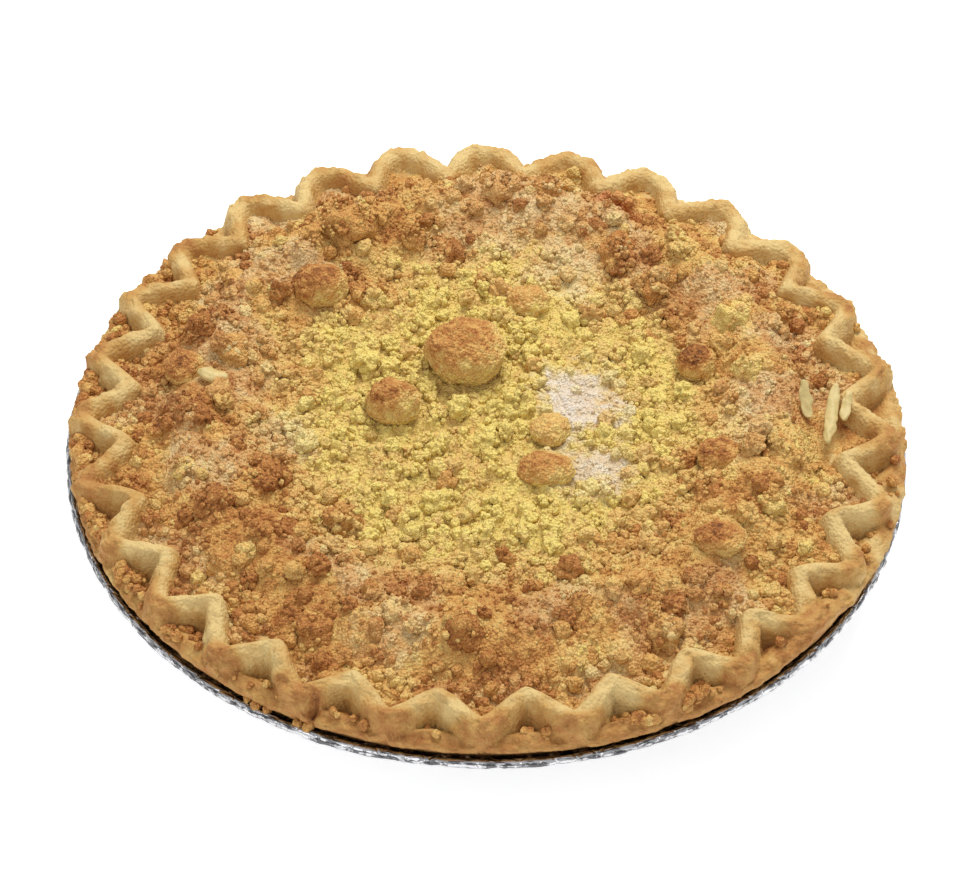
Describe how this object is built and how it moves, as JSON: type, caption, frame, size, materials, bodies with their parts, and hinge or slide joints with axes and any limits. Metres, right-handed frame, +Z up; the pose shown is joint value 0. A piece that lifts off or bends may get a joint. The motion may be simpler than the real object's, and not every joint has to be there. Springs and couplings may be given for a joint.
{
  "type": "crumb-topped apple pie",
  "caption": "Whole round apple pie with a pinched zigzag pastry rim and a browned crumb topping, baked in a shallow foil tin.",
  "frame": {"origin": "centre of the foil tin's underside, on the surface that the pie rests on", "axes": "+Z up through the pie's crumb topping, -Y towards the side nearest the picture's viewer, +X to that viewer's right"},
  "size_m": [0.247, 0.247, 0.0545],
  "materials": {
    "foil": "bright, lightly crinkled foil",
    "pastry": "matte baked pastry, golden tan, browner on its outer corners",
    "crumb": "matte sandy crumb, pale yellow in the middle and orange-brown on the ring",
    "browned_crumb": "matte crumb lump with a browned top",
    "filling": "moist dark red apple filling",
    "apple": "pale dry apple sliver"
  },
  "bodies": {
    "root": {"foil_tin": "foil", "pastry_crust": "pastry", "apple_filling": "filling", "crumb_topping": "crumb", "lump_ball": "browned_crumb", "lump_pear": "browned_crumb", "lump_back_left": "browned_crumb", "lump_golden": "browned_crumb", "lump_yellow": "browned_crumb", "lump_browned": "browned_crumb", "lump_dark": "browned_crumb", "lump_right": "browned_crumb", "lump_long": "browned_crumb", "lump_brown_left": "browned_crumb", "sliver_upright": "apple", "sliver_long": "apple", "sliver_short": "apple", "sliver_wedge": "apple"}
  },
  "joints": []
}
